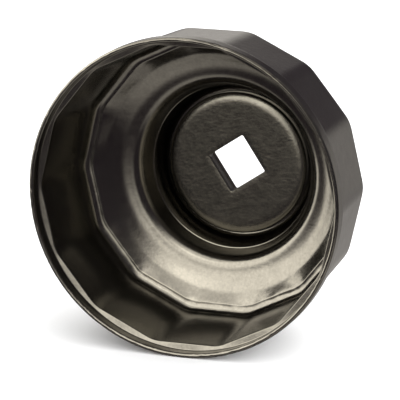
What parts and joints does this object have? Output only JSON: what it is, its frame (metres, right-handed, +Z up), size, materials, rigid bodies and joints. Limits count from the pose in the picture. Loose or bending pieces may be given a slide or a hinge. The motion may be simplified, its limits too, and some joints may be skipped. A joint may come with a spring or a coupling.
{
  "type": "oil filter wrench",
  "caption": "Cap-type oil filter wrench: a fluted pressed steel cup with a round rim, a dished end and a square drive hole in a deep central boss.",
  "frame": {"origin": "centre of the bounding box, on the cup's axis and halfway along it", "axes": "+Y along the cup's axis from the open mouth to the drive boss, +Z up with a flute flat at the top and the bottom, +X to the right seen from the mouth"},
  "size_m": [0.072, 0.0414, 0.072],
  "materials": {
    "plated_sheet": "dark bright-nickel plate over pressed sheet, semi-gloss with orange peel",
    "plated_plate": "dark nickel plate over blanked plate, satin with a fine grain"
  },
  "bodies": {
    "root": {"cup_shell": "plated_sheet", "drive_plate": "plated_plate"}
  },
  "joints": []
}
